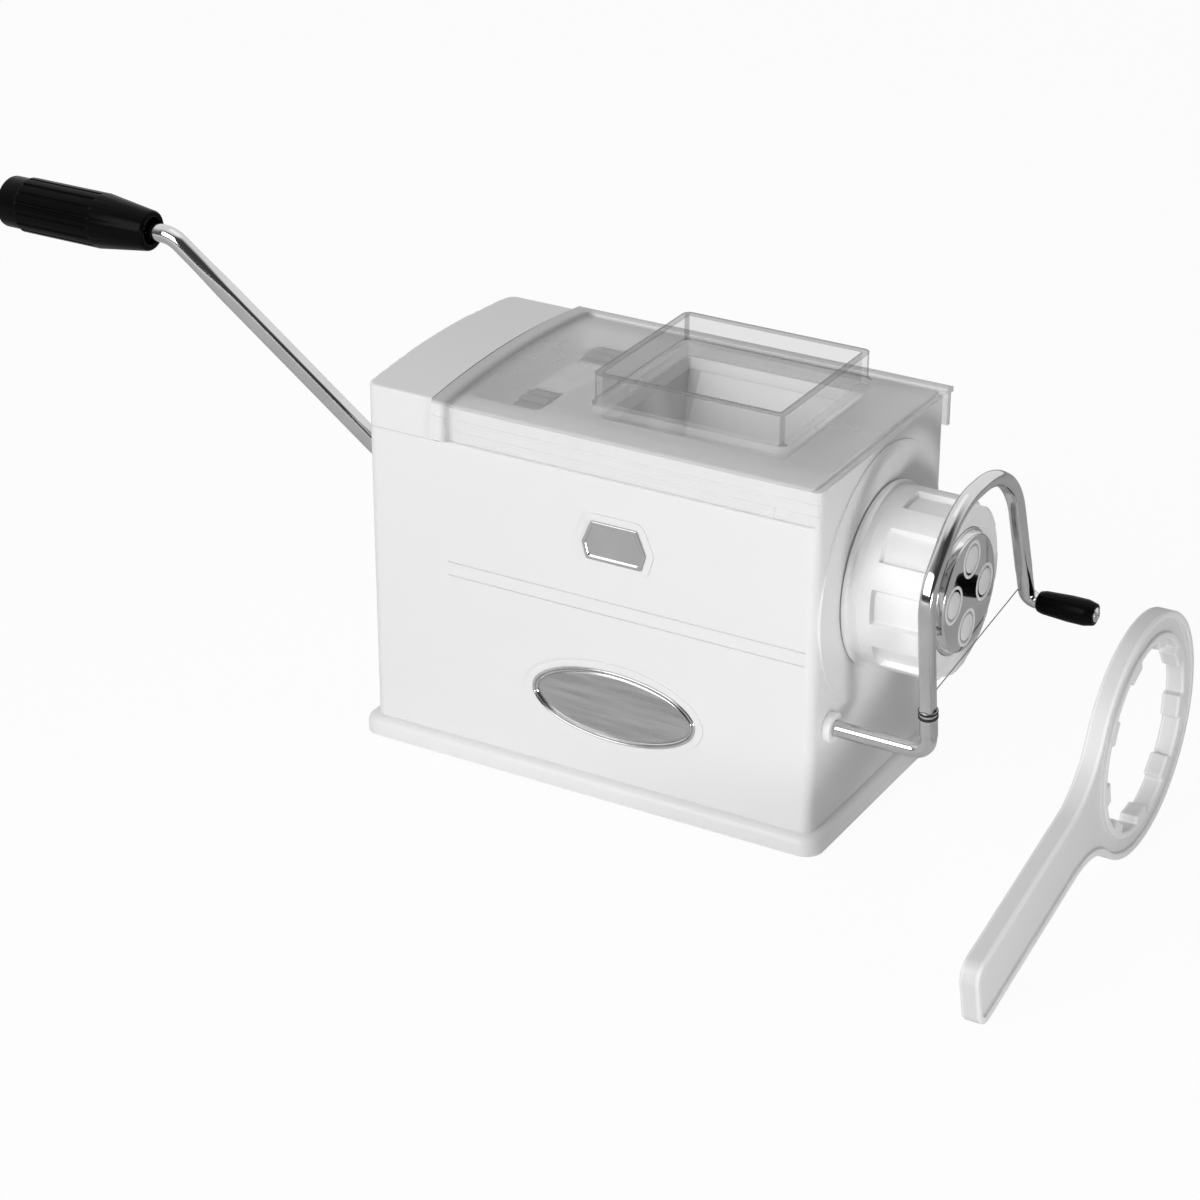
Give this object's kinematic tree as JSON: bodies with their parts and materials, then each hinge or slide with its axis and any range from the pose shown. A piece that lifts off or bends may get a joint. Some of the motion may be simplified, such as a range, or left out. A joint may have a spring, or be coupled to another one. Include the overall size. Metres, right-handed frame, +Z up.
{
  "type": "pasta machine",
  "caption": "Hand-cranked extruder pasta machine with feed collar, screw drive, round die under a ring nut, swinging wire cutter and nut wrench.",
  "frame": {"origin": "centre of the body's footprint, on the table", "axes": "+X along the body from the crank to the die, -Y is the long face with the badges, +Z up"},
  "size_m": [0.586, 0.2292, 0.2214],
  "materials": {
    "body_white": "gloss moulded plastic",
    "base_white": "gloss moulded plastic",
    "foot_rubber": "matt",
    "screw_steel": "satin",
    "lid_smoke": "frosted translucent with a clear collar",
    "hopper_white": "satin moulded plastic",
    "plate_steel": "satin",
    "bush_brass": "machined",
    "shaft_steel": "machined",
    "auger_white": "satin moulded plastic",
    "roller_grey": "satin",
    "gear_white": "satin",
    "die_chrome": "mirror",
    "nozzle_white": "satin",
    "nut_white": "gloss moulded plastic",
    "rod_chrome": "mirror",
    "crimp_dark": "matt",
    "wire_steel": "drawn wire",
    "knob_black": "gloss",
    "grip_black": "gloss",
    "badge_chrome": "mirror, bare",
    "badge_satin": "satin, bare",
    "wrench_white": "satin moulded plastic"
  },
  "bodies": {
    "machine": {"base_tray": "base_white", "rubber_feet": "foot_rubber", "base_screws": "screw_steel", "main_housing": "body_white", "gear_housing": "body_white", "gear_cap": "body_white", "hopper": "hopper_white", "barrel": "hopper_white", "bearing_plate": "plate_steel", "shaft_bushes": "bush_brass", "axle_bushes": "bush_brass", "cutter_bush": "nozzle_white", "upper_badge": "badge_chrome", "oval_rim": "badge_chrome", "oval_plate": "badge_satin"},
    "lid": {"lid": "lid_smoke"},
    "crank": {"crank_rod": "rod_chrome", "drive_shaft": "shaft_steel", "drive_pinion": "gear_white", "auger_screw": "auger_white", "thrust_washer": "bush_brass", "grip_keeper": "screw_steel"},
    "grip": {"crank_grip": "grip_black", "grip_end_cap": "grip_black"},
    "roller_front": {"roller_axle_front": "shaft_steel", "feed_roller_front": "roller_grey", "roller_gear_front": "gear_white"},
    "roller_back": {"roller_axle_back": "shaft_steel", "feed_roller_back": "roller_grey", "roller_gear_back": "gear_white"},
    "die_set": {"die_disc": "die_chrome", "nozzle_inserts": "nozzle_white", "nozzle_cores": "nozzle_white"},
    "nut": {"ring_nut": "nut_white"},
    "cutter": {"cutter_rod": "rod_chrome", "cutter_retainer": "screw_steel", "cutter_socket": "rod_chrome", "crimp_rings": "crimp_dark", "cutter_bow": "rod_chrome", "cutter_wire": "wire_steel", "knob_pin": "shaft_steel", "knob_screw": "rod_chrome"},
    "knob": {"cutter_knob": "knob_black"},
    "wrench": {"wrench": "wrench_white"}
  },
  "joints": [
    {"name": "crank_turn", "type": "hinge", "parent": "machine", "child": "crank", "pos_m": [-0.1, 0, 0.1128], "axis": [1, 0, 0], "continuous": true},
    {"name": "grip_spin", "type": "hinge", "parent": "crank", "child": "grip", "pos_m": [-0.3, -0.01851, 0.20802], "axis": [1, 0, 0], "continuous": true},
    {"name": "front_roller_spin", "type": "hinge", "parent": "machine", "child": "roller_front", "pos_m": [-0.05, -0.0285, 0.14762], "axis": [1, 0, 0], "continuous": true},
    {"name": "back_roller_spin", "type": "hinge", "parent": "machine", "child": "roller_back", "pos_m": [-0.05, 0.0285, 0.14762], "axis": [1, 0, 0], "continuous": true},
    {"name": "lid_lift", "type": "slide", "parent": "machine", "child": "lid", "axis": [0, 0, 1], "range_m": [0, 0.12]},
    {"name": "die_travel", "type": "slide", "parent": "machine", "child": "die_set", "axis": [1, 0, 0], "range_m": [0, 0.0008]},
    {"name": "nut_turn", "type": "hinge", "parent": "die_set", "child": "nut", "pos_m": [0.134, 0, 0.1128], "axis": [1, 0, 0], "range_deg": [0, 72]},
    {"name": "cutter_swing", "type": "hinge", "parent": "machine", "child": "cutter", "pos_m": [0.114, -0.0477, 0.0578], "axis": [1, 0, 0], "range_deg": [-45, 100]},
    {"name": "knob_spin", "type": "hinge", "parent": "cutter", "child": "knob", "pos_m": [0.182, 0.053, 0.08902], "axis": [1, 0, 0], "continuous": true},
    {"name": "wrench_lift", "type": "slide", "parent": "machine", "child": "wrench", "axis": [0, 0, 1], "range_m": [0, 0.25]}
  ],
  "couplings": [
    {"joint": "front_roller_spin", "follows": "crank_turn", "ratio": -0.57895},
    {"joint": "back_roller_spin", "follows": "crank_turn", "ratio": 0.57895},
    {"joint": "die_travel", "follows": "nut_turn", "m_per_rad": 0.000636}
  ]
}
